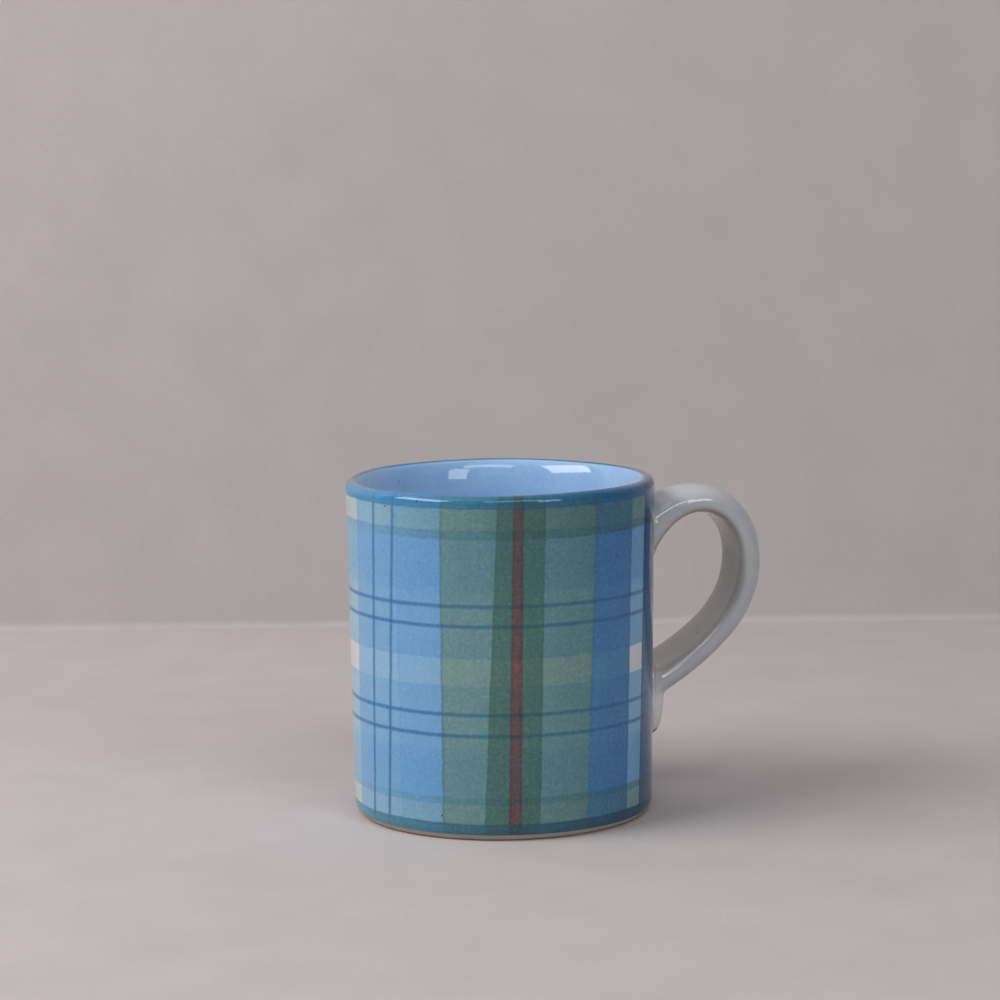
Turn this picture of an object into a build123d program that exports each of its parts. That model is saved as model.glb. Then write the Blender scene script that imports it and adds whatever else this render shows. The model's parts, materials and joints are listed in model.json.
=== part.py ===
from build123d import *
import os
from math import cos, pi, radians, sin

# A thrown stoneware mug with one pulled strap handle, as the pieces and layers it is made of:
# the clay cup, the clay strap, the slip that joins the two, and the coats of glaze over them.
# Origin: the centre of the ring the mug stands on. +Z is up and the handle points towards +X.
# All sizes are in millimetres.

# The cup, measured on its glazed surface
HEIGHT = 91.0             # table to the top of the lip
WALL_FOOT_RADIUS = 40.4   # outside of the wall, carried down to the table
WALL_LIP_RADIUS = 41.6    # outside of the wall at the lip: it opens out a little
MOUTH_RADIUS = 35.5       # inside of the wall, a true cylinder up to the flare
FLARE_HEIGHT = 79.5       # above this the inside opens out, so that the lip is thinner
FLARE_EASE = 6.0          # how slowly the inside leaves the cylinder
LIP_ROUNDING = 2.2        # outer half of the lip
LIP_EASE = 1.9            # how slowly the inside leaves the top of the lip
FLOOR_HEIGHT = 6.0        # top of the floor inside
FLOOR_FILLET = 9.0        # rounding between the floor and the wall inside
FOOT_ROUND_HEIGHT = 3.4   # how far up the wall the rounding at the foot reaches
RING_OUTER_RADIUS = 37.8  # the flat ring the mug stands on
RING_INNER_RADIUS = 33.0
RECESS_HEIGHT = 1.6       # of the hollow inside the ring, up to its glazed ceiling

# The coats of glaze, and where one colour gives way to the next
COAT = 0.4
RIM_BAND_HEIGHT = 87.8    # lower edge of the rim's band outside
RIM_INNER_HEIGHT = 90.4   # its lower edge inside, just over the lip
FOOT_BAND_HEIGHT = 4.6
BARE_FOOT_HEIGHT = 1.5    # no glaze below this, so that the mug does not stick in the kiln

# The strap handle, measured on its glazed surface: its centreline as (radius, height)
STRAP_PATH = [
    (34.5, 70.4),
    (44.5, 78.4),
    (55.0, 82.4),
    (64.7, 77.6),
    (68.3, 69.5),
    (66.4, 55.3),
    (57.7, 44.3),
    (34.5, 30.2),
]
STRAP_WIDTH = 18.6
STRAP_THICKNESS = 7.1
STRAP_END_THICKNESS = 7.7
ROOT_EXTRA_WIDTH = 5.0      # the top end flares out where it was smoothed on to the wall
ROOT_EXTRA_THICKNESS = 14.0
ROOT_FLARE_SHARE = 0.22     # share of the strap's length that the flare takes
CROWN_SHARE = 0.58          # share of the thickness on the outer, crowned side
CROWN_FULLNESS = 0.62       # of the section's corners: 0.55 is an ellipse, 1 is nearly square
BELLY_FULLNESS = 0.85
STRAP_STATIONS = 10

# The tail of the strap, pressed down the wall below its lower end
TAIL_TOP_HEIGHT = 38.0      # hidden inside the strap
TAIL_END_HEIGHT = 18.2
TAIL_WIDTH = 17.0
TAIL_THICKNESS = 8.6        # the inner part of this lies inside the wall
TAIL_SINK = 0.9             # how far under the glazed wall the tail's widest line lies
TAIL_FULLNESS = 3.5         # exponent of the curve that rounds off the tail's end
TAIL_END_ANGLE = 80.0       # the slices stop at this angle of that curve, just short of a point
TAIL_STATIONS = 6

SLIP = 0.6                  # layer of slip between the wall and the handle
CLEAR = 60.0                # radius beyond the whole cup, for the cutting shapes


def wall_radius(height):
    """Outside radius of the glazed wall at a height above the table."""
    return WALL_FOOT_RADIUS + (WALL_LIP_RADIUS - WALL_FOOT_RADIUS) * height / HEIGHT


def cup(inset):
    """The cup as one solid, its surface lying `inset` under the glazed surface."""
    lip_radius = wall_radius(HEIGHT) - LIP_ROUNDING
    lip_height = HEIGHT - LIP_ROUNDING
    lip_top = (lip_radius, HEIGHT - inset)
    outer = wall_radius(lip_height) - inset
    inner = MOUTH_RADIUS + inset
    floor = FLOOR_HEIGHT - inset
    ceiling = RECESS_HEIGHT + COAT
    fillet = FLOOR_FILLET
    fillet_middle = (inner - fillet * (1 - cos(pi / 4)), floor + fillet * (1 - sin(pi / 4)))
    with BuildPart() as body:
        with BuildSketch(Plane.XZ):
            with BuildLine():
                Polyline(
                    (0, floor),
                    (0, ceiling),
                    (RING_INNER_RADIUS - COAT, ceiling),
                    (RING_INNER_RADIUS, RECESS_HEIGHT),
                    (RING_INNER_RADIUS, 0),
                    (RING_OUTER_RADIUS, 0),
                )
                EllipticalCenterArc(
                    (RING_OUTER_RADIUS, FOOT_ROUND_HEIGHT),
                    wall_radius(FOOT_ROUND_HEIGHT) - inset - RING_OUTER_RADIUS,
                    FOOT_ROUND_HEIGHT,
                    start_angle=-90,
                    arc_size=90,
                )
                Line(
                    (wall_radius(FOOT_ROUND_HEIGHT) - inset, FOOT_ROUND_HEIGHT), (outer, lip_height)
                )
                EllipticalCenterArc(
                    (lip_radius, lip_height),
                    outer - lip_radius,
                    LIP_ROUNDING - inset,
                    start_angle=0,
                    arc_size=90,
                )
                Bezier(
                    lip_top,
                    (lip_radius - LIP_EASE, HEIGHT - inset),
                    (inner, FLARE_HEIGHT + FLARE_EASE),
                    (inner, FLARE_HEIGHT),
                )
                Line((inner, FLARE_HEIGHT), (inner, floor + fillet))
                ThreePointArc((inner, floor + fillet), fillet_middle, (inner - fillet, floor))
                Line((inner - fillet, floor), (0, floor))
            make_face()
        revolve(axis=Axis.Z)
    return body.part


def ring(inner_radius, outer_radius, low, high):
    """A plain cutting ring between two radii and two heights."""
    tube = Pos(0, 0, (low + high) / 2) * Cylinder(outer_radius, high - low)
    if inner_radius:
        tube -= Pos(0, 0, (low + high) / 2) * Cylinder(inner_radius, high - low)
    return tube


def plug(outset):
    """Everything within the clay wall, filled to the axis, grown by `outset`."""
    low, high = FOOT_ROUND_HEIGHT, RIM_BAND_HEIGHT
    bottom = wall_radius(low) - COAT + outset
    top = wall_radius(high) - COAT + outset
    return Pos(0, 0, (low + high) / 2) * Cone(bottom, top, high - low)


def strap_section(width, thickness, inset):
    """The strap's outline: crowned on the outside, flatter on the inside, rounded at the edges."""
    half_width = width / 2 - inset
    crown = thickness * CROWN_SHARE - inset
    belly = -(thickness * (1 - CROWN_SHARE) - inset)
    quarters = [
        (half_width, crown, CROWN_FULLNESS),
        (-half_width, crown, CROWN_FULLNESS),
        (-half_width, belly, BELLY_FULLNESS),
        (half_width, belly, BELLY_FULLNESS),
    ]
    edges = [
        Bezier((side, 0), (side, full * out), (full * side, out), (0, out))
        for side, out, full in quarters
    ]
    return make_face(edges)


def strap(inset):
    """The strap with its tail, one solid that runs on into the wall at both ends."""
    path = Spline(*[(radius, 0, height) for radius, height in STRAP_PATH])
    sections = []
    for station in range(STRAP_STATIONS + 1):
        share = station / STRAP_STATIONS
        flare = max(0, 1 - share / ROOT_FLARE_SHARE) ** 3
        width = STRAP_WIDTH + ROOT_EXTRA_WIDTH * flare
        thickness = STRAP_THICKNESS + (STRAP_END_THICKNESS - STRAP_THICKNESS) * share
        thickness += ROOT_EXTRA_THICKNESS * flare
        across = Plane(path @ share, x_dir=(0, 1, 0), z_dir=path % share)
        sections.append(across * strap_section(width, thickness, inset))
    return loft(sections) + tail(inset)


def tail(inset):
    """The tail, level slices of the strap that shrink to a blunt end."""
    reach = TAIL_TOP_HEIGHT - TAIL_END_HEIGHT - inset
    sections = []
    for station in range(TAIL_STATIONS):
        angle = radians(TAIL_END_ANGLE * station / (TAIL_STATIONS - 1))
        size = cos(angle) ** (2 / TAIL_FULLNESS)
        height = TAIL_TOP_HEIGHT - reach * sin(angle) ** (2 / TAIL_FULLNESS)
        middle = (wall_radius(height) - TAIL_SINK, 0, height)
        level = Plane(middle, x_dir=(0, 1, 0), z_dir=(0, 0, -1))
        sections.append(level * strap_section(TAIL_WIDTH * size, TAIL_THICKNESS * size, inset))
    return loft(sections)


def build_pieces():
    """Every piece of the mug by name."""
    clay = cup(COAT)
    glaze = cup(0) - clay
    clay_strap = strap(COAT)
    glazed_strap = strap(0)
    divide = wall_radius(HEIGHT) - LIP_ROUNDING
    outside = ring(divide, CLEAR, RIM_BAND_HEIGHT, HEIGHT)
    inside = ring(0, divide, RIM_INNER_HEIGHT, HEIGHT)
    wall = ring(divide, CLEAR, FOOT_BAND_HEIGHT, RIM_BAND_HEIGHT)
    slip = (clay_strap & plug(SLIP)) - plug(0)
    slip_layers = slip.solids().sort_by(Axis.Z)
    return {
        "clay_body": clay,
        "handle_core": clay_strap - plug(SLIP),
        "lower_slip_joint": slip_layers[0],
        "upper_slip_joint": slip_layers[-1],
        "tartan_glaze": (glaze & wall) - glazed_strap,
        "rim_glaze_band": glaze & (outside + inside),
        "foot_glaze_band": glaze & ring(divide, CLEAR, BARE_FOOT_HEIGHT, FOOT_BAND_HEIGHT),
        "liner_glaze": glaze & ring(0, divide, FLOOR_HEIGHT - COAT, RIM_INNER_HEIGHT),
        "base_glaze": ring(0, RING_INNER_RADIUS, RECESS_HEIGHT, RECESS_HEIGHT + COAT) - clay,
        "handle_glaze": glazed_strap - clay_strap - plug(0),
    }


os.makedirs("parts", exist_ok=True)
for name, piece in build_pieces().items():
    piece.label = name
    export_step(piece, f"parts/{name}.step")
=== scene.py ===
import json
import math

import bmesh
import bpy
import numpy as np
from mathutils import Matrix, Vector


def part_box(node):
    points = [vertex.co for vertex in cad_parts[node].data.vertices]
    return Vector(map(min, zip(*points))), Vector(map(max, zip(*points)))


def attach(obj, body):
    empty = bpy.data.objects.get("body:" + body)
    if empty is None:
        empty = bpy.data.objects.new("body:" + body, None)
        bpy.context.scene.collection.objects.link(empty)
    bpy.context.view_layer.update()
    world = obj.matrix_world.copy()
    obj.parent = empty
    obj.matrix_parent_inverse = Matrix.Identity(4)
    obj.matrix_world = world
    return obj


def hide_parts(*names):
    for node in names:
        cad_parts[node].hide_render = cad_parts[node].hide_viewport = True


# A hand-thrown stoneware mug with a painted plaid. Lengths in this script are millimetres, and
# become metres where a mesh, a light or the camera is made. Angles go round the wall from the
# handle, which points towards +X. The floor, the lights and the camera are laid out with the camera
# on -Y, and view_matrix() then turns them all round the mug.

METRE = 0.001
DEGREE = math.pi / 180

# Shape of the cup that the frame's boxes don't tell
COAT = 0.4                # thickness of the glaze
LIP_ROUNDING = 2.2        # outer half of the lip
LIP_EASE = 1.9            # how slowly the inside leaves the top of the lip
FLARE_HEIGHT = 79.5       # the inside opens out above this
FLARE_EASE = 6.0          # how slowly it leaves the cylinder
FLOOR_FILLET = 9.0
FOOT_ROUND_HEIGHT = 3.4
RING_OUTER_RADIUS = 37.8  # of the flat ring that the mug stands on
RING_INNER_RADIUS = 33.0

# The unevenness of a cup thrown by hand
OUT_OF_ROUND = 0.10
OVAL_START = 60.0         # most of that is above this height
RING_DEPTH_OUTSIDE = 0.015
RING_DEPTH_INSIDE = 0.10
RING_PITCH = 7.0
LIP_WAVE = 0.12           # how far the lip rises and falls
LIP_WAVE_START = 75.0     # which dies out at this height

# Mesh detail
AROUND = 360              # facets round the cup
SHARP_CORNER = 40.0       # degrees: the cup's edges that turn more than this stay sharp
HANDLE_VOXEL = 0.36
HANDLE_SMOOTHING = 26     # rounds of smoothing, which turn the handle's corners into fillets
HANDLE_SWELL = 0.13       # makes up for what the smoothing takes off

# The camera, and the sheet behind the mug
CAMERA_AZIMUTH = -105.7   # degrees from the handle
CAMERA_DISTANCE = 879.0
CAMERA_HEIGHT = 205.0
CAMERA_PITCH = -7.8
CAMERA_ROLL = 0.67
FOCUS_HEIGHT = 45.0       # the lens is focused on the mug's axis at this height
LENS = 118.5              # focal length
SENSOR_WIDTH = 36.0
APERTURE = 22.0           # f-number
NEAREST_SEEN = 50.0       # nothing closer to the lens is shown
BACKDROP_DISTANCE = 288.0  # behind the mug
BACKDROP_HEIGHT = 2500.0
SHEET_REACH = 3000.0      # to either side of the mug and towards the camera
SHEET_BEND = 2.5          # radius of the bend between the floor and the backdrop
BEND_STEPS = 8


# ---------------------------------------------------------------- shader fields

class Field:
    """A number or a vector at every point of a surface: one output of a shader node."""

    def __init__(self, tree, socket):
        self.tree = tree
        self.socket = socket

    def math(self, operation, *others):
        """This number and the others through one arithmetic node."""
        node = self.tree.nodes.new("ShaderNodeMath")
        node.operation = operation
        for value, socket in zip((self, *others), node.inputs):
            feed(self.tree, value, socket)
        return Field(self.tree, node.outputs[0])

    def vector_math(self, operation, *others):
        """This vector and the others through one vector arithmetic node."""
        node = self.tree.nodes.new("ShaderNodeVectorMath")
        node.operation = operation
        sockets = [node.inputs[0], node.inputs["Scale" if operation == "SCALE" else 1]]
        for value, socket in zip((self, *others), sockets):
            feed(self.tree, value, socket)
        output = "Value" if operation in ("DOT_PRODUCT", "LENGTH") else "Vector"
        return Field(self.tree, node.outputs[output])

    def __add__(self, other):
        return self.math("ADD", other)

    def __radd__(self, other):
        return self.math("ADD", other)

    def __sub__(self, other):
        return self.math("SUBTRACT", other)

    def __rsub__(self, other):
        return (self * -1.0) + other

    def __mul__(self, other):
        return self.math("MULTIPLY", other)

    def rise(self, low, high):
        """0 below `low`, 1 above `high`, smooth between them."""
        node = self.tree.nodes.new("ShaderNodeMapRange")
        node.interpolation_type = "SMOOTHSTEP"
        feed(self.tree, self, node.inputs["Value"])
        feed(self.tree, low, node.inputs["From Min"])
        feed(self.tree, high, node.inputs["From Max"])
        return Field(self.tree, node.outputs["Result"])

    def parts(self):
        """The vector's three numbers."""
        node = self.tree.nodes.new("ShaderNodeSeparateXYZ")
        feed(self.tree, self, node.inputs[0])
        return [Field(self.tree, output) for output in node.outputs]

    def noise(self, size, detail=2.0, roughness=0.5):
        """Smooth noise from -1 to 1 with lumps of about `size`, which may be three sizes."""
        sizes = size if isinstance(size, tuple) else (size, size, size)
        stretched = self.vector_math("MULTIPLY", tuple(1 / s for s in sizes))
        node = self.tree.nodes.new("ShaderNodeTexNoise")
        feed(self.tree, stretched, node.inputs["Vector"])
        node.inputs["Scale"].default_value = 1.0
        node.inputs["Detail"].default_value = detail
        node.inputs["Roughness"].default_value = roughness
        return Field(self.tree, node.outputs["Fac"]) * 2.0 - 1.0

    def nearest_speck(self, spacing):
        """Distance to the nearest of many scattered points."""
        node = self.tree.nodes.new("ShaderNodeTexVoronoi")
        feed(self.tree, self, node.inputs["Vector"])
        node.inputs["Scale"].default_value = 1 / spacing
        return Field(self.tree, node.outputs["Distance"]) * spacing


def feed(tree, value, socket):
    """Puts a field or a plain value into a node's input."""
    if isinstance(value, Field):
        tree.links.new(value.socket, socket)
    else:
        socket.default_value = value


def combine(tree, red, green, blue):
    """A colour from its three channels."""
    node = tree.nodes.new("ShaderNodeCombineXYZ")
    for value, socket in zip((red, green, blue), node.inputs):
        feed(tree, value, socket)
    return Field(tree, node.outputs[0])


def blend(share, first, second):
    """The colour `first` where share is 0 and `second` where it is 1."""
    node = share.tree.nodes.new("ShaderNodeMix")
    node.data_type = "RGBA"
    feed(share.tree, share, node.inputs["Factor"])
    for value, name in ((first, "A"), (second, "B")):
        socket = [s for s in node.inputs if s.name == name and s.type == "RGBA"][0]
        feed(share.tree, value if isinstance(value, Field) else (*value, 1.0), socket)
    output = [s for s in node.outputs if s.type == "RGBA"][0]
    return Field(share.tree, output)


def new_material(name):
    """An empty material and the object's own coordinates in millimetres, as a field."""
    material = bpy.data.materials.new(name)
    material.use_nodes = True
    tree = material.node_tree
    tree.nodes.clear()
    coordinates = tree.nodes.new("ShaderNodeTexCoord")
    place = Field(tree, coordinates.outputs["Object"]).vector_math("SCALE", 1 / METRE)
    return material, place


def finish_surface(material, colour, roughness, relief, relief_depth, ior=1.5):
    """Closes a material with one glossy or matt shader; `relief` is a height from -1 to 1."""
    tree = material.node_tree
    shader = tree.nodes.new("ShaderNodeBsdfPrincipled")
    output = tree.nodes.new("ShaderNodeOutputMaterial")
    feed(tree, colour, shader.inputs["Base Color"])
    feed(tree, roughness, shader.inputs["Roughness"])
    shader.inputs["IOR"].default_value = ior
    bump = tree.nodes.new("ShaderNodeBump")
    bump.inputs["Distance"].default_value = relief_depth * METRE
    feed(tree, relief, bump.inputs["Height"])
    tree.links.new(bump.outputs["Normal"], shader.inputs["Normal"])
    tree.links.new(shader.outputs[0], output.inputs["Surface"])
    return material


# ---------------------------------------------------------------- the painted plaid

# How each wash of colour looks over white, in linear light. Washes are translucent: where two
# cross, both their absorptions count.
CREAM = (0.70, 0.715, 0.76)
WASHES = {
    "light_blue": (0.303, 0.572, 0.96),
    "blue": (0.251, 0.521, 0.98),
    "sage": (0.209, 0.377, 0.36),
    "forest": (0.12, 0.28, 0.225),
    "red": (0.20, 0.093, 0.097),
    "strong_blue": (0.091, 0.31, 0.55),
    "dusk_blue": (0.052, 0.20, 0.369),
    "grass": (0.166, 0.346, 0.366),
    "sky": (0.163, 0.42, 0.742),
    "ink": (0.097, 0.303, 0.554),
    "teal": (0.042, 0.213, 0.469),
    "navy": (0.038, 0.15, 0.24),
}

WALL_RADIUS = 41.0        # mean radius, which turns degrees round the wall into millimetres
ARC = WALL_RADIUS * DEGREE
PLAID_START = -5.8        # where the plaid's first half begins: in the cream stripe by the handle
PLAID_MIDDLE = 49.0       # height at which the upright stripes have the places given below
PLAID_HEIGHT = 78.0       # height over which a stripe leans by the amount given below

# Upright stripes of one half of the plaid: wash, left and right edge in degrees from its start,
# and how far each edge has moved sideways by the bottom, in millimetres
STRIPES = [
    ("light_blue", 12.5, 38.8, -2.8, 0.0),
    ("blue", 38.8, 58.1, 0.0, -0.6),
    ("sage", 57.4, 115.4, -0.6, -2.8),
    ("forest", 76.3, 95.3, -3.9, -1.8),
    ("strong_blue", 115.4, 135.5, -2.8, -2.0),
    ("dusk_blue", 145.6, 167.5, -2.6, -2.5),
]
RED_LINE = 85.6
RED_LINE_LEAN = -1.5
RED_LINE_WIDTH = (2.6, 3.2)    # at the top and at the bottom
LEFT_OUT_UNDER_RED = ("sage", "forest")
UPRIGHT_LINES = [(24.8, -3.0), (34.9, -3.7)]   # degrees, lean
FINE_LINE_WIDTH = 0.85

# Level bands: wash, bottom and top, strength in the lower and in the upper part, and the height at
# which the one gives way to the other
BANDS = [
    ("grass", 79.8, 95.0, 1.0, 1.0, 87.0),
    ("sky", 48.6, 82.1, 0.56, 1.0, 66.0),
    ("sky", 9.8, 41.2, 0.75, 0.42, 24.2),
    ("grass", 3.0, 11.6, 0.55, 0.55, 7.0),
]
# The level washes are painted darker on the handle's side and lighter on the far side, by this share:
# painted shade and painted light
SIDE_SHADE = {"grass": 0.9, "sky": 0.48, "teal": 0.5, "navy": 0.7}
STRIPE_SHADE = 0.8     # the upright washes are painted darker on the handle's half, by this share: painted shade
EDGE_GLAZE_HIDING = 0.55  # share of the plaid that the glaze round the lip and the foot hides
LEVEL_LINES = [62.3, 57.0, 33.7, 28.1]

EDGE_SOFTNESS = 0.60      # width over which a wash fades out at its edge
STRENGTH_SOFTNESS = 3.5   # height over which a band's strength changes
EDGE_WANDER = 0.14        # how far the brush strays
WANDER_LENGTH = 6.0       # and over what length
LINE_STEADINESS = 0.5     # a line strays by this share of what a broad wash does
POOL_WIDTH = 0.9          # colour gathers along a wash's edge
POOL_STRENGTH = 0.32

# Unevenness of a wash: the size of its lumps or streaks, and the share of the density they change
GRAIN_SIZE = 0.8
GRAIN_STRENGTH = 0.80
CLOUD_SIZE = 9.0
CLOUD_STRENGTH = 0.14
STREAK_WIDTH = 0.9
STREAK_STRENGTH = 0.16
UPRIGHT_STREAK_LENGTH = 16.0
LEVEL_STREAK_LENGTH = 12.0


def absorption(colour):
    """Kubelka-Munk absorption over scattering of a coat that shows this colour."""
    return tuple((1 - c) ** 2 / (2 * c) for c in colour)


def cover(inside):
    """1 within a painted shape and 0 outside it; `inside` is the distance in from its edge."""
    return inside.rise(-EDGE_SOFTNESS / 2, EDGE_SOFTNESS / 2)


class Paint:
    """The brushed washes at every point of a surface."""

    def __init__(self, tree, place):
        self.tree = tree
        x, y, self.height = place.parts()
        degrees = y.math("ARCTAN2", x) * (1 / DEGREE) - PLAID_START
        self.along = degrees.math("FLOORED_MODULO", 180.0) * ARC
        self.drop = (PLAID_MIDDLE - self.height) * (1 / PLAID_HEIGHT)
        self.wander = place.noise(WANDER_LENGTH, 1.0) * (2 * EDGE_WANDER)
        self.line_wander = self.wander * LINE_STEADINESS
        self.towards_handle = x * (1 / WALL_RADIUS)
        grain = place.noise(GRAIN_SIZE, 3.0, 0.7) * GRAIN_STRENGTH
        cloud = place.noise(CLOUD_SIZE, 2.0) * CLOUD_STRENGTH
        upright = place.noise((STREAK_WIDTH, STREAK_WIDTH, UPRIGHT_STREAK_LENGTH), 2.0)
        level = place.noise((LEVEL_STREAK_LENGTH, LEVEL_STREAK_LENGTH, STREAK_WIDTH), 2.0)
        self.upright_texture = grain + cloud + upright * STREAK_STRENGTH
        self.level_texture = grain + cloud + level * STREAK_STRENGTH
        self.total = combine(tree, *absorption(CREAM))

    def density(self, inside, texture):
        """How much of a wash lies here; `inside` is the distance in from its edge."""
        pooled = 1.0 + (1.0 - inside.rise(0.0, POOL_WIDTH)) * POOL_STRENGTH
        return cover(inside) * pooled * (texture + 1.0)

    def add(self, wash, density):
        """Lays a wash on with this density."""
        layer = combine(self.tree, *absorption(WASHES[wash])).vector_math("SCALE", density)
        self.total = self.total.vector_math("ADD", layer)

    def add_upright(self, wash, density):
        """Lays an upright wash on, painted darker on the handle's half of the wall: painted shade."""
        shaded_half = self.towards_handle.math("MAXIMUM", 0.0)
        # painted shade: darker on the half of the wall towards the handle
        self.add(wash, density * (shaded_half * STRIPE_SHADE + 1.0))

    def add_level(self, wash, density):
        """Lays a level wash on, painted darker on the handle's side and lighter on the far side:
        painted shade and light.
        """
        # painted shade towards the handle, painted light on the far side
        self.add(wash, density * (self.towards_handle * SIDE_SHADE[wash] + 1.0))

    def add_edge_glaze(self, wash, inside):
        """Lays on the denser glaze of the lip or the foot, which partly hides the plaid."""
        self.total = self.total.vector_math("SCALE", 1.0 - cover(inside) * EDGE_GLAZE_HIDING)
        self.add_level(wash, self.density(inside, self.level_texture))

    def stripe(self, left, right, lean_left, lean_right):
        """Distance in from the edges of an upright stripe."""
        from_left = self.along - self.drop * lean_left + self.wander - left * ARC
        to_right = self.drop * lean_right - self.wander - self.along + right * ARC
        return from_left.math("MINIMUM", to_right)

    def band(self, bottom, top):
        """Distance in from the edges of a level band."""
        from_bottom = self.height + self.wander - bottom
        to_top = top - self.height - self.wander
        return from_bottom.math("MINIMUM", to_top)

    def upright_line(self, degrees, lean, half_width):
        """Distance in from the edges of an upright line."""
        offset = self.along - degrees * ARC - self.drop * lean + self.line_wander
        return half_width - offset.math("ABSOLUTE")

    def level_line(self, height, half_width):
        """Distance in from the edges of a level line."""
        offset = self.height - height + self.line_wander
        return half_width - offset.math("ABSOLUTE")

    def colour(self):
        """The colour that all the washes laid on so far show together."""
        channels = []
        for ratio in self.total.parts():
            root = (ratio * ratio + ratio * 2.0).math("SQRT")
            channels.append(ratio + 1.0 - root)
        return combine(self.tree, *channels)


def plaid(tree, place, sizes):
    """The whole decoration of the outside: the plaid, and the bands round the lip and the foot."""
    paint = Paint(tree, place)
    top_width, bottom_width = RED_LINE_WIDTH
    half_width = paint.drop * ((bottom_width - top_width) / 2) + (top_width + bottom_width) / 4
    red = paint.upright_line(RED_LINE, RED_LINE_LEAN, half_width)
    for wash, left, right, lean_left, lean_right in STRIPES:
        inside = paint.stripe(left, right, lean_left, lean_right)
        density = paint.density(inside, paint.upright_texture)
        if wash in LEFT_OUT_UNDER_RED:
            density = density * (1.0 - cover(red))
        paint.add_upright(wash, density)
    paint.add("red", paint.density(red, paint.upright_texture))
    for wash, bottom, top, low_strength, high_strength, turn in BANDS:
        density = paint.density(paint.band(bottom, top), paint.level_texture)
        turned = paint.height.rise(turn - STRENGTH_SOFTNESS / 2, turn + STRENGTH_SOFTNESS / 2)
        paint.add_level(wash, density * (turned * (high_strength - low_strength) + low_strength))
    for degrees, lean in UPRIGHT_LINES:
        inside = paint.upright_line(degrees, lean, FINE_LINE_WIDTH / 2)
        paint.add("ink", paint.density(inside, paint.upright_texture))
    for height in LEVEL_LINES:
        inside = paint.level_line(height, FINE_LINE_WIDTH / 2)
        paint.add("ink", paint.density(inside, paint.level_texture))
    paint.add_edge_glaze("teal", paint.height + paint.wander - sizes["rim_low"])
    paint.add_edge_glaze("navy", sizes["foot_high"] - paint.height - paint.wander)
    return paint.colour()


# ---------------------------------------------------------------- the glazes and the clay

IRON = (0.045, 0.035, 0.03)
LINER = (0.38, 0.60, 0.87)
LINER_POOLED = (0.29, 0.50, 0.78)
THIN_ON_LIP = (0.33, 0.31, 0.27)   # the clay's beige, where the glaze ran thin
THIN_BELOW_TOP = (0.75, 0.1)       # the glaze begins to thin, and is thinnest, this far below the top
THIN_SIDEWAYS = (0.62, 0.92)       # and this share of the lip's radius to the left and right
LINER_EDGE = (1.1, 0.5)            # the liner's colour ends between these, inwards from the crest
THICK_CREAM = ((0.57, 0.59, 0.61), (0.49, 0.515, 0.54))      # the two colours of its mottling
# Darker and browner, where the handle faces into its loop: thinner glaze, with painted shade
SHADED_THIN_CREAM = ((0.51, 0.475, 0.435), (0.42, 0.385, 0.35))
# Pale colour of the tail: pooled glaze, lightened further as painted light in the handle's shade
TAIL_PAINTED_LIGHT = (0.85, 0.85, 0.85)
DROP_BROWN = (0.17, 0.15, 0.12)
PAPER = (0.61, 0.56, 0.555)
FIBRE_SHADE = 0.87                 # how dark the paper's fibres are beside its colour

LOOP_MIDDLE = (54.0, 0.0, 60.0)    # of the hole between the handle and the wall
TAIL_TOP = 34.0                    # the tail is painted paler below this: pooled glaze, and painted light where the tail lies in the handle's shade
TAIL_FADE = 4.0
TAIL_DROP = 21.0                   # and ends in a dark drop below this


def add_specks(place, colour, spacing, radius):
    """Adds the dark iron specks in the clay that show through a glaze."""
    specks = 1.0 - place.nearest_speck(spacing).rise(radius * 0.5, radius)
    return blend(specks, colour, IRON)


def sideways(place):
    """How far a point is from the plane through the axis and the camera, and its height."""
    turn = CAMERA_AZIMUTH * DEGREE
    x, y, height = place.parts()
    across = y * math.cos(turn) - x * math.sin(turn)
    return across.math("ABSOLUTE"), height


def distance_from_axis(place):
    """How far a point is from the upright axis."""
    return place.vector_math("MULTIPLY", (1.0, 1.0, 0.0)).vector_math("LENGTH")


def finish_glaze(material, place, colour, roughness, relief_depth, ior=1.5):
    """Closes a glaze: glossy, slightly uneven, with long soft waves and fine pits in its skin."""
    uneven = place.noise(1.6, 2.0) * 0.02 + roughness
    relief = place.noise(5.0, 2.0) * 0.7 + place.noise(0.7, 2.0) * 0.10
    return finish_surface(material, colour, uneven, relief, relief_depth, ior)


def thin_on_lip(place, sizes):
    """Above 0 where the glaze ran thin: on the crest of the lip, towards its left and right ends."""
    across, height = sideways(place)
    start, full = (sizes["top"] - below for below in THIN_BELOW_TOP)
    crest = height.rise(start, full)
    ends = across.rise(*(sizes["lip_radius"] * share for share in THIN_SIDEWAYS))
    return crest * ends * (place.noise(3.5, 3.0) * 0.4 + 0.5)


def painted_glaze(sizes):
    """The glaze outside, with the plaid, and over the lip to where the liner's colour begins."""
    material, place = new_material("painted_glaze")
    colour = plaid(material.node_tree, place, sizes)
    colour = blend(thin_on_lip(place, sizes), colour, THIN_ON_LIP)
    crest_radius = sizes["lip_radius"] - LIP_ROUNDING
    start, full = (crest_radius - inwards for inwards in LINER_EDGE)
    outside = distance_from_axis(place).rise(start, full)
    colour = blend(outside, LINER, colour)
    colour = add_specks(place, colour, spacing=6.0, radius=0.36)
    return finish_glaze(material, place, colour, roughness=0.055, relief_depth=0.016)


def liner_glaze():
    """The pale blue glaze inside the cup and under its foot."""
    material, place = new_material("liner_glaze")
    mottle = place.noise(1.0, 3.0, 0.6) * 0.5 + place.noise(11.0, 2.0) * 0.5
    colour = blend(mottle.rise(-0.5, 0.5), LINER, LINER_POOLED)
    colour = add_specks(place, colour, spacing=7.0, radius=0.36)
    return finish_glaze(material, place, colour, roughness=0.05, relief_depth=0.02)


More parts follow.
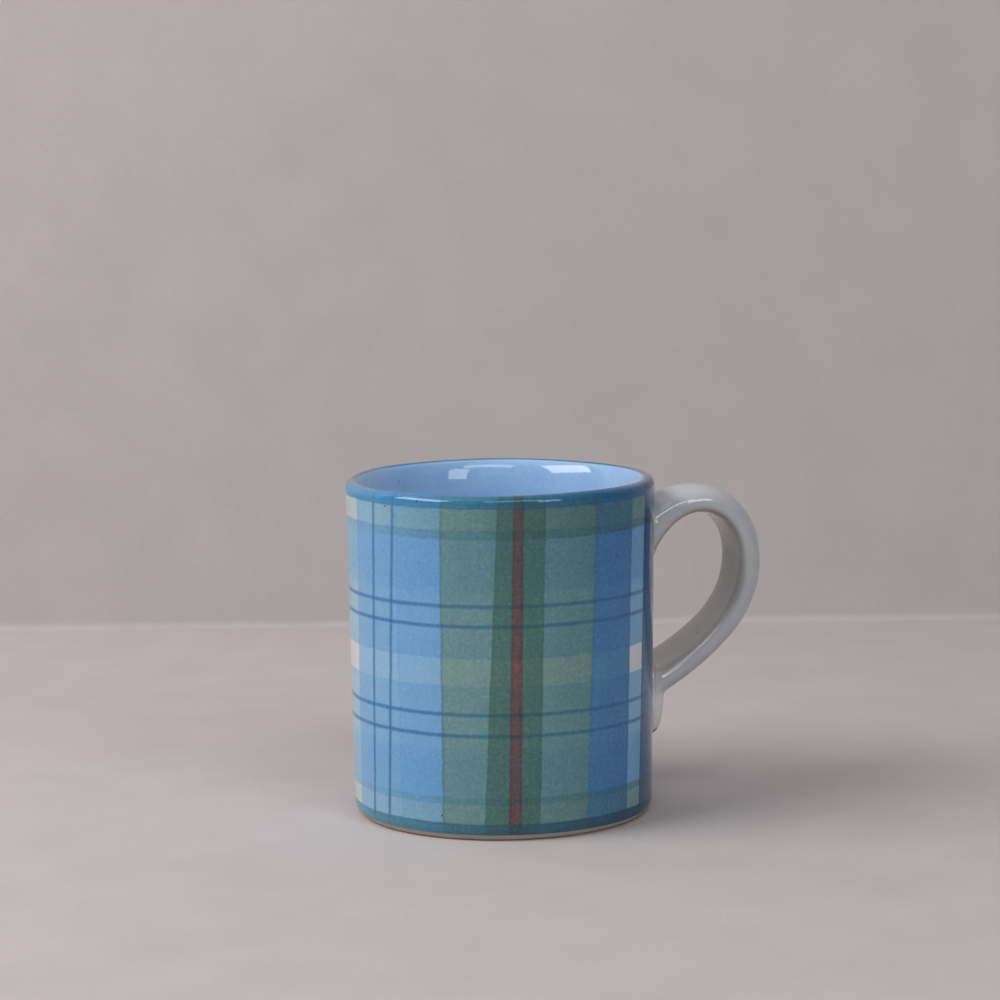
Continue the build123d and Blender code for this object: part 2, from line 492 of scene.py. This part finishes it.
def faces_loop(place):
    """1 where the surface faces the middle of the handle's loop, -1 where it faces away."""
    coordinates = place.tree.nodes.new("ShaderNodeTexCoord")
    normal = Field(place.tree, coordinates.outputs["Normal"])
    to_middle = place.vector_math("MULTIPLY", (-1.0, 0.0, -1.0)).vector_math("ADD", LOOP_MIDDLE)
    return normal.vector_math("DOT_PRODUCT", to_middle.vector_math("NORMALIZE"))


def cream_glaze():
    """The handle's glaze: cool outside, darker and browner inside the loop, where its colour holds
    thinner glaze and painted shade together.
    """
    material, place = new_material("cream_glaze")
    height = place.parts()[2]
    mottle = place.noise(0.9, 3.0, 0.7) * 0.5 + place.noise(9.0, 2.0) * 0.5
    thick = blend(mottle.rise(-0.6, 0.6), *THICK_CREAM)
    thin = blend(mottle.rise(-0.6, 0.6), *SHADED_THIN_CREAM)
    # painted shade: darker and browner where the surface faces into the loop
    colour = blend(faces_loop(place).rise(0.1, 0.75), thick, thin)
    # painted light: the tail is made paler than the handle's shade there would leave it
    tail = 1.0 - height.rise(TAIL_TOP - TAIL_FADE, TAIL_TOP)
    colour = blend(tail * 0.9, colour, TAIL_PAINTED_LIGHT)
    drop = 1.0 - (height + place.noise(2.0) * 0.8).rise(TAIL_DROP - 1.0, TAIL_DROP)
    colour = blend(drop * 0.8, colour, DROP_BROWN)
    colour = add_specks(place, colour, spacing=6.0, radius=0.40)
    return finish_glaze(material, place, colour, roughness=0.06, relief_depth=0.02, ior=1.65)


def bare_clay(name, light, dark, grit):
    """Fired clay without glaze: warm, matt and gritty."""
    material, place = new_material(name)
    mottle = place.noise(0.6, 4.0, 0.7) * 0.6 + place.noise(6.0, 2.0) * 0.4
    colour = blend(mottle.rise(-0.5, 0.5), light, dark)
    colour = add_specks(place, colour, spacing=2.6, radius=0.2)
    relief = place.noise(0.35, 4.0, 0.7)
    return finish_surface(material, colour, 0.75, relief, grit)


def paper():
    """The plain, very slightly fibrous sheet that the mug stands on."""
    material, place = new_material("paper")
    fibre = place.noise(1.1, 3.0, 0.7) * 0.6 + place.noise(25.0, 2.0) * 0.4
    darker = tuple(channel * FIBRE_SHADE for channel in PAPER)
    colour = blend(fibre.rise(-0.6, 0.6), PAPER, darker)
    finish_surface(material, colour, 0.9, place.noise(0.8, 3.0), 0.05, ior=1.3)
    return clear_from_behind(material, place)


def clear_from_behind(material, place):
    """Lets views from behind or below see through the sheet to the mug.

    Within the foot ring the sheet is clear from above too, so that light reaches the recess."""
    tree = material.node_tree
    output = next(node for node in tree.nodes if node.type == "OUTPUT_MATERIAL")
    front = output.inputs["Surface"].links[0].from_socket
    geometry = tree.nodes.new("ShaderNodeNewGeometry")
    clear = tree.nodes.new("ShaderNodeBsdfTransparent")
    either = tree.nodes.new("ShaderNodeMixShader")
    within_ring = distance_from_axis(place).math("LESS_THAN", RING_INNER_RADIUS)
    seen_through = within_ring.math("MAXIMUM", Field(tree, geometry.outputs["Backfacing"]))
    feed(tree, seen_through, either.inputs[0])
    tree.links.new(front, either.inputs[1])
    tree.links.new(clear.outputs[0], either.inputs[2])
    tree.links.new(either.outputs[0], output.inputs["Surface"])
    return material


# ---------------------------------------------------------------- the cup's coats of glaze

def frame_sizes():
    """The cup's measures in millimetres, read from the frame's boxes and its mouth."""
    rim_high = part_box("rim_glaze_band")[1]
    foot_low, foot_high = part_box("foot_glaze_band")
    wall_low, wall_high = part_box("tartan_glaze")
    liner_low, liner_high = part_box("liner_glaze")
    mouth = next(m for m in frame["record"]["mounts"] if m["name"] == "mouth")
    return {
        "top": rim_high.z / METRE,
        "lip_radius": rim_high.x / METRE,
        "rim_low": wall_high.z / METRE,
        "rim_inside": liner_high.z / METRE,
        "foot_high": wall_low.z / METRE,
        "foot_radius": foot_high.x / METRE,
        "glaze_end": foot_low.z / METRE,
        "floor": liner_low.z / METRE + COAT,
        "mouth_radius": mouth["dims"]["r_mm"],
    }


def smooth_rise(value, low, high):
    """0 below `low`, 1 above `high`, smooth between them."""
    share = np.clip((value - low) / (high - low), 0, 1)
    return share * share * (3 - 2 * share)


def bezier(points, steps):
    """Points along a cubic Bezier curve, its start left out."""
    shares = np.linspace(0, 1, steps + 1)[1:, None]
    start, first, second, end = (np.array(p) for p in points)
    rest = 1 - shares
    outer = rest**3 * start + shares**3 * end
    return outer + 3 * rest * shares * (rest * first + shares * second)


def ellipse_arc(centre, radii, start, end, steps):
    """Points along part of an ellipse from one angle to another, its start left out."""
    angles = np.linspace(start, end, steps + 1)[1:] * DEGREE
    across = centre[0] + radii[0] * np.cos(angles)
    upwards = centre[1] + radii[1] * np.sin(angles)
    return np.column_stack([across, upwards])


def straight(start, end, steps):
    """Points along a straight line, its start left out."""
    shares = np.linspace(0, 1, steps + 1)[1:, None]
    return np.array(start) + shares * (np.array(end) - np.array(start))


def wall_radius(sizes, height):
    """Outside radius of the wall, which opens out a little from the foot to the lip."""
    lip_height = sizes["top"] - LIP_ROUNDING
    share = (height - sizes["foot_high"]) / (lip_height - sizes["foot_high"])
    return sizes["foot_radius"] + (sizes["lip_radius"] - sizes["foot_radius"]) * share


def cup_outline(sizes):
    """The glazed surface as (radius, height) points: up the outside, over the lip, down to the axis.

    Each stretch ends with the number of its steps."""
    top, inner, floor = sizes["top"], sizes["mouth_radius"], sizes["floor"]
    foot = (wall_radius(sizes, FOOT_ROUND_HEIGHT), FOOT_ROUND_HEIGHT)
    band = (sizes["foot_radius"], sizes["foot_high"])
    rim = (wall_radius(sizes, sizes["rim_low"]), sizes["rim_low"])
    lip = (sizes["lip_radius"], top - LIP_ROUNDING)
    crest = (lip[0] - LIP_ROUNDING, top)
    flare_end = (inner, FLARE_HEIGHT)
    flare = [crest, (crest[0] - LIP_EASE, top), (inner, FLARE_HEIGHT + FLARE_EASE), flare_end]
    foot_centre = (RING_OUTER_RADIUS, FOOT_ROUND_HEIGHT)
    foot_radii = (foot[0] - RING_OUTER_RADIUS, FOOT_ROUND_HEIGHT)
    glaze_end = -math.asin(1 - sizes["glaze_end"] / FOOT_ROUND_HEIGHT) / DEGREE
    stretches = [
        ellipse_arc(foot_centre, foot_radii, glaze_end, 0, 8),
        straight(foot, band, 2),
        straight(band, rim, 70),
        straight(rim, lip, 3),
        ellipse_arc((crest[0], lip[1]), (LIP_ROUNDING, LIP_ROUNDING), 0, 90, 14),
        bezier(flare, 44),
        straight(flare_end, (inner, floor + FLOOR_FILLET), 50),
        ellipse_arc((inner - FLOOR_FILLET, floor + FLOOR_FILLET), (FLOOR_FILLET,) * 2, 0, -90, 14),
        straight((inner - FLOOR_FILLET, floor), (0, floor), 24),
    ]
    return np.vstack(stretches)


def under_surface(outline, depth):
    """The outline moved into the clay by `depth`, at right angles to itself."""
    along = np.gradient(outline, axis=0)
    along /= np.linalg.norm(along, axis=1)[:, None]
    inward = np.column_stack([-along[:, 1], along[:, 0]])
    moved = outline + inward * depth
    moved[outline[:, 0] == 0, 0] = 0
    return moved


def thrown(angle, radius, height, sizes):
    """Moves a point of the perfect cup to where the potter's hands left it.

    The plain numbers are the shares, turns and starting angles of waves that don't repeat."""
    outside = smooth_rise(radius, sizes["lip_radius"] - 3.0, sizes["lip_radius"] - 1.0)
    raised = smooth_rise(height, OVAL_START, sizes["top"])
    oval = np.cos(2 * angle + 0.9) + 0.4 * np.cos(3 * angle - 0.5)
    oval = OUT_OF_ROUND * oval * (0.3 + 0.7 * raised)
    turn = 2 * math.pi * height / RING_PITCH
    rings_outside = RING_DEPTH_OUTSIDE * (np.sin(turn * 1.7 + 1.0) + np.sin(turn * 0.6 + angle))
    rings_inside = RING_DEPTH_INSIDE * np.sin(turn - angle) * (1 - raised)
    fade = smooth_rise(radius, 2.0, 30.0)
    moved = radius + fade * (oval + outside * rings_outside + (1 - outside) * rings_inside)
    wave = LIP_WAVE * (np.cos(2 * angle + 2.2) + 0.5 * np.cos(5 * angle))
    lifted = height + wave * smooth_rise(height, LIP_WAVE_START, sizes["top"])
    return moved * np.cos(angle), moved * np.sin(angle), lifted


def add_piece(name, mesh, material, node):
    """Puts a finished mesh, in metres, into the scene in place of a CAD node."""
    mesh.materials.clear()
    mesh.materials.append(material)
    piece = bpy.data.objects.new(name, mesh)
    bpy.context.scene.collection.objects.link(piece)
    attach(piece, "root")
    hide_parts(node)


def coat_mesh(name, skin, sizes):
    """A closed coat of glaze: a stretch of the outline turned round the axis, with its underside."""
    section = np.vstack([skin, under_surface(skin, COAT)[::-1]])
    angles = np.arange(AROUND) * (2 * math.pi / AROUND)
    angle, radius = np.meshgrid(angles, section[:, 0], indexing="ij")
    height = np.broadcast_to(section[:, 1], radius.shape)
    points = np.stack(thrown(angle, radius, height, sizes), axis=-1).reshape(-1, 3) * METRE
    count = len(section)
    rows = np.arange(AROUND)[:, None]
    columns = np.arange(count)[None, :]
    next_rows = (rows + 1) % AROUND
    next_columns = (columns + 1) % count
    corners = [
        rows * count + columns,
        next_rows * count + columns,
        next_rows * count + next_columns,
        rows * count + next_columns,
    ]
    quads = np.stack([c.reshape(-1) for c in np.broadcast_arrays(*corners)], axis=-1)
    mesh = bpy.data.meshes.new(name)
    mesh.from_pydata(points.tolist(), [], quads.tolist())
    close_poles(mesh)
    mesh.shade_smooth()
    mesh.set_sharp_from_angle(angle=SHARP_CORNER * DEGREE)
    return mesh


def close_poles(mesh):
    """Joins the many points that lie together on the axis, and turns the faces outwards."""
    shape = bmesh.new()
    shape.from_mesh(mesh)
    bmesh.ops.remove_doubles(shape, verts=shape.verts[:], dist=1e-7)
    bmesh.ops.dissolve_degenerate(shape, edges=shape.edges[:], dist=1e-8)
    bmesh.ops.recalc_face_normals(shape, faces=shape.faces[:])
    shape.to_mesh(mesh)
    shape.free()


def glaze_coats(sizes, painted, liner):
    """The coats on the cup: cut from one outline, so that neighbours meet exactly."""
    outline = cup_outline(sizes)
    height = outline[:, 1]
    crest = int(np.argmax(height))
    foot_end = int(np.argmin(np.abs(height[:crest] - sizes["foot_high"])))
    rim_start = int(np.argmin(np.abs(height[:crest] - sizes["rim_low"])))
    rim_end = crest + int(np.argmin(np.abs(height[crest:] - sizes["rim_inside"])))
    coats = [
        ("foot_band", 0, foot_end, painted, "dark_blue_glaze", "foot_glaze_band"),
        ("painted_wall", foot_end, rim_start, painted, "painted_glaze", "tartan_glaze"),
        ("rim_band", rim_start, rim_end, painted, "teal_glaze", "rim_glaze_band"),
        ("liner", rim_end, len(outline) - 1, liner, "liner_glaze", "liner_glaze"),
    ]
    for name, start, end, material, slot, node in coats:
        mesh = coat_mesh(name, outline[start:end + 1], sizes)
        add_piece(name, mesh, material, node)


# ---------------------------------------------------------------- the handle

# Where the strap was smoothed on to the wall: height, half height, half width and rise of each pad
ROOT_PADS = [
    (76.5, 11.5, 13.5, 0.55),
    (31.0, 15.0, 11.5, 0.35),
]
SPREAD = 0.33             # share by which the strap widens towards its lower end
SPREAD_START = 62.0       # radius at which that begins
SPREAD_TOP = 58.0         # only the part of the strap below this height widens
SPREAD_FADE = 12.0
PAD_EDGE_SINK = 0.35      # the pads' edges lie this far under the wall's glaze
PAD_DEPTH = 2.6
PAD_RINGS = 14
PAD_SPOKES = 48


def pad(shape, sizes, middle, half_height, half_width, rise):
    """Adds a closed lens that lies on the wall: its outside domed, its inside within the clay."""
    layers = []
    for is_outside in (True, False):
        layer = []
        for ring in range(PAD_RINGS + 1):
            share = ring / PAD_RINGS
            dome = rise - (rise + PAD_EDGE_SINK) * smooth_rise(share, 0.0, 1.0)
            for spoke in range(PAD_SPOKES):
                turn = 2 * math.pi * spoke / PAD_SPOKES
                height = middle + half_height * share * math.sin(turn)
                angle = half_width * share * math.cos(turn) / WALL_RADIUS
                radius = wall_radius(sizes, height) + (dome if is_outside else -PAD_DEPTH)
                place = (radius * math.cos(angle), radius * math.sin(angle), height)
                layer.append(shape.verts.new(place))
        layers.append(layer)
    for layer in layers:
        for ring in range(PAD_RINGS):
            for spoke in range(PAD_SPOKES):
                after = (spoke + 1) % PAD_SPOKES
                corners = [(ring, spoke), (ring, after), (ring + 1, after), (ring + 1, spoke)]
                shape.faces.new([layer[r * PAD_SPOKES + s] for r, s in corners])
    outside, inside = (layer[PAD_RINGS * PAD_SPOKES:] for layer in layers)
    for spoke in range(PAD_SPOKES):
        after = (spoke + 1) % PAD_SPOKES
        shape.faces.new([outside[spoke], outside[after], inside[after], inside[spoke]])


def handle_blank(sizes):
    """The handle's CAD solids and the two pads together, in millimetres."""
    shape = bmesh.new()
    for node in ("handle_core", "handle_glaze", "upper_slip_joint", "lower_slip_joint"):
        shape.from_mesh(frame["nodes"][node].data)
    bmesh.ops.scale(shape, vec=(1 / METRE,) * 3, verts=shape.verts[:])
    for middle, half_height, half_width, rise in ROOT_PADS:
        pad(shape, sizes, middle, half_height, half_width, rise)
    bmesh.ops.remove_doubles(shape, verts=shape.verts[:], dist=1e-5)
    bmesh.ops.recalc_face_normals(shape, faces=shape.faces[:])
    mesh = bpy.data.meshes.new("handle_blank")
    shape.to_mesh(mesh)
    shape.free()
    return mesh


def keep_largest_part(shape):
    """Deletes every loose part of a mesh but the largest."""
    unseen = set(shape.verts)
    largest = set()
    while unseen:
        part = {unseen.pop()}
        frontier = list(part)
        while frontier:
            vertex = frontier.pop()
            for edge in vertex.link_edges:
                other = edge.other_vert(vertex)
                if other in unseen:
                    unseen.remove(other)
                    part.add(other)
                    frontier.append(other)
        if len(part) > len(largest):
            largest = part
    loose = [v for v in shape.verts if v not in largest]
    bmesh.ops.delete(shape, geom=loose, context="VERTS")


def spread_lower_end(shape):
    """Widens the lower arm of the strap towards the wall, as when it is pressed on with the thumbs."""
    for vertex in shape.verts:
        radius = math.hypot(vertex.co.x, vertex.co.y)
        below = 1 - smooth_rise(vertex.co.z, SPREAD_TOP - SPREAD_FADE, SPREAD_TOP)
        near = np.clip((SPREAD_START - radius) / (SPREAD_START - WALL_RADIUS), 0, 1)
        vertex.co.y *= 1 + SPREAD * float(below * near)


def handle(sizes, material):
    """The glazed strap as one smooth skin, with soft fillets where it meets the wall."""
    blank = bpy.data.objects.new("handle_blank", handle_blank(sizes))
    bpy.context.scene.collection.objects.link(blank)
    remesh = blank.modifiers.new("skin", "REMESH")
    remesh.mode = "VOXEL"
    remesh.voxel_size = HANDLE_VOXEL
    smooth = blank.modifiers.new("fillets", "SMOOTH")
    smooth.factor = 0.5
    smooth.iterations = HANDLE_SMOOTHING
    graph = bpy.context.evaluated_depsgraph_get()
    mesh = bpy.data.meshes.new_from_object(blank.evaluated_get(graph))
    bpy.data.objects.remove(blank)
    shape = bmesh.new()
    shape.from_mesh(mesh)
    keep_largest_part(shape)
    shape.normal_update()
    for vertex in shape.verts:
        vertex.co += vertex.normal * HANDLE_SWELL
    spread_lower_end(shape)
    bmesh.ops.scale(shape, vec=(METRE,) * 3, verts=shape.verts[:])
    shape.to_mesh(mesh)
    shape.free()
    mesh.name = "handle"
    mesh.shade_smooth()
    add_piece("handle", mesh, material, "handle_glaze")


# ---------------------------------------------------------------- the set, the light and the camera

SKY_COLOUR = (0.97, 0.97, 1.0)
SKY_STRENGTH = 0.14


def view_matrix():
    """Turns a layout with the camera on -Y into the frame's coordinates."""
    return Matrix.Rotation((CAMERA_AZIMUTH + 90) * DEGREE, 4, "Z")


def sweep():
    """The floor and the backdrop: one sheet that turns up behind the mug."""
    bend_start = BACKDROP_DISTANCE - SHEET_BEND
    profile = [(-SHEET_REACH, 0.0), (bend_start, 0.0)]
    for step in range(1, BEND_STEPS + 1):
        angle = step / BEND_STEPS * math.pi / 2
        y = bend_start + SHEET_BEND * math.sin(angle)
        profile.append((y, SHEET_BEND - SHEET_BEND * math.cos(angle)))
    profile.append((BACKDROP_DISTANCE, BACKDROP_HEIGHT))
    points = [(side, y, z) for y, z in profile for side in (-SHEET_REACH, SHEET_REACH)]
    faces = [(2 * i, 2 * i + 1, 2 * i + 3, 2 * i + 2) for i in range(len(profile) - 1)]
    mesh = bpy.data.meshes.new("floor")
    mesh.from_pydata([Vector(p) * METRE for p in points], [], faces)
    mesh.shade_smooth()
    mesh.materials.append(paper())
    sheet = bpy.data.objects.new("floor", mesh)
    sheet.matrix_world = view_matrix()
    bpy.context.scene.collection.objects.link(sheet)


# Lights: azimuth from the camera's side of the mug (negative is left), elevation, distance, width,
# height, watts and colour
LIGHTS = {
    "left_window": (-70, 41, 1200, 812, 438, 8.7, (1.0, 0.98, 0.96)),
    "front_window": (38, 30, 1700, 460, 560, 3.9, (0.92, 0.96, 1.0)),
    "high_front": (11, 49, 1700, 1040, 300, 4.3, (0.95, 0.97, 1.0)),
    "soft_sky": (-80, 66, 1900, 1800, 1200, 4.5, (0.97, 0.98, 1.0)),
}
AIM_HEIGHT = 60.0         # the height on the mug's axis that they face


def direction_to(azimuth, elevation):
    """The direction towards a light, from its azimuth and elevation in degrees."""
    turned = (azimuth - 90) * DEGREE
    raised = elevation * DEGREE
    level = math.cos(raised)
    return Vector((math.cos(turned) * level, math.sin(turned) * level, math.sin(raised)))


def add_lights():
    """The windows and the soft light from above, as flat lamps that face the mug."""
    target = Vector((0, 0, AIM_HEIGHT))
    for name, (azimuth, elevation, distance, width, height, power, colour) in LIGHTS.items():
        direction = direction_to(azimuth, elevation)
        lamp = bpy.data.lights.new(name, "AREA")
        lamp.shape = "RECTANGLE"
        lamp.size = width * METRE
        lamp.size_y = height * METRE
        lamp.energy = power
        lamp.color = colour
        holder = bpy.data.objects.new(name, lamp)
        place = Matrix.Translation((target + direction * distance) * METRE)
        facing = direction.to_track_quat("Z", "Y").to_matrix().to_4x4()
        holder.matrix_world = view_matrix() @ place @ facing
        bpy.context.scene.collection.objects.link(holder)


def add_sky():
    """Even light from all round."""
    world = bpy.data.worlds.new("room")
    bpy.context.scene.world = world
    world.use_nodes = True
    background = world.node_tree.nodes["Background"]
    background.inputs["Color"].default_value = (*SKY_COLOUR, 1.0)
    background.inputs["Strength"].default_value = SKY_STRENGTH


def add_camera():
    """The camera, focused on the mug's axis."""
    camera = bpy.data.cameras.new("camera")
    camera.lens = LENS
    camera.sensor_width = SENSOR_WIDTH
    camera.clip_start = NEAREST_SEEN * METRE
    focus = bpy.data.objects.new("focus", None)
    focus.location = (0, 0, FOCUS_HEIGHT * METRE)
    bpy.context.scene.collection.objects.link(focus)
    camera.dof.use_dof = True
    camera.dof.focus_object = focus
    camera.dof.aperture_fstop = APERTURE
    holder = bpy.data.objects.new("camera", camera)
    place = Matrix.Translation(Vector((0, -CAMERA_DISTANCE, CAMERA_HEIGHT)) * METRE)
    pitch = Matrix.Rotation((90 + CAMERA_PITCH) * DEGREE, 4, "X")
    roll = Matrix.Rotation(-CAMERA_ROLL * DEGREE, 4, "Z")
    holder.matrix_world = view_matrix() @ place @ pitch @ roll
    bpy.context.scene.collection.objects.link(holder)
    bpy.context.scene.camera = holder


# ---------------------------------------------------------------- the mug and the scene

def dress(node, material):
    """Gives a CAD node that stays as it is its material."""
    mesh = frame["nodes"][node].data
    mesh.materials.clear()
    mesh.materials.append(material)


def build_mug():
    """The glaze, as made here, and the clay and slip under it, as they come from the CAD."""
    sizes = frame_sizes()
    painted = painted_glaze(sizes)
    liner = liner_glaze()
    glaze_coats(sizes, painted, liner)
    handle(sizes, cream_glaze())
    stoneware = bare_clay("stoneware", (0.62, 0.55, 0.46), (0.48, 0.41, 0.33), 0.05)
    slip = bare_clay("slip", (0.60, 0.53, 0.45), (0.50, 0.44, 0.37), 0.03)
    dress("clay_body", stoneware)
    dress("handle_core", stoneware)
    dress("upper_slip_joint", slip)
    dress("lower_slip_joint", slip)
    dress("base_glaze", liner)


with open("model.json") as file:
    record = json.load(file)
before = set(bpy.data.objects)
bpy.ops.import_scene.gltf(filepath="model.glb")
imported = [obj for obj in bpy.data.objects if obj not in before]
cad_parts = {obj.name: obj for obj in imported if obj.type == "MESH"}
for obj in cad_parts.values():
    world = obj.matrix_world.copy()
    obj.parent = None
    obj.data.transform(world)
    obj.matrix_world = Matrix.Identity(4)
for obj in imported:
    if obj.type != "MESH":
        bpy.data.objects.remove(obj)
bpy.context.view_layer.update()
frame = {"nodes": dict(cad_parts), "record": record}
build_mug()
sweep()
add_lights()
add_sky()
add_camera()
bpy.context.scene.view_settings.view_transform = "Standard"
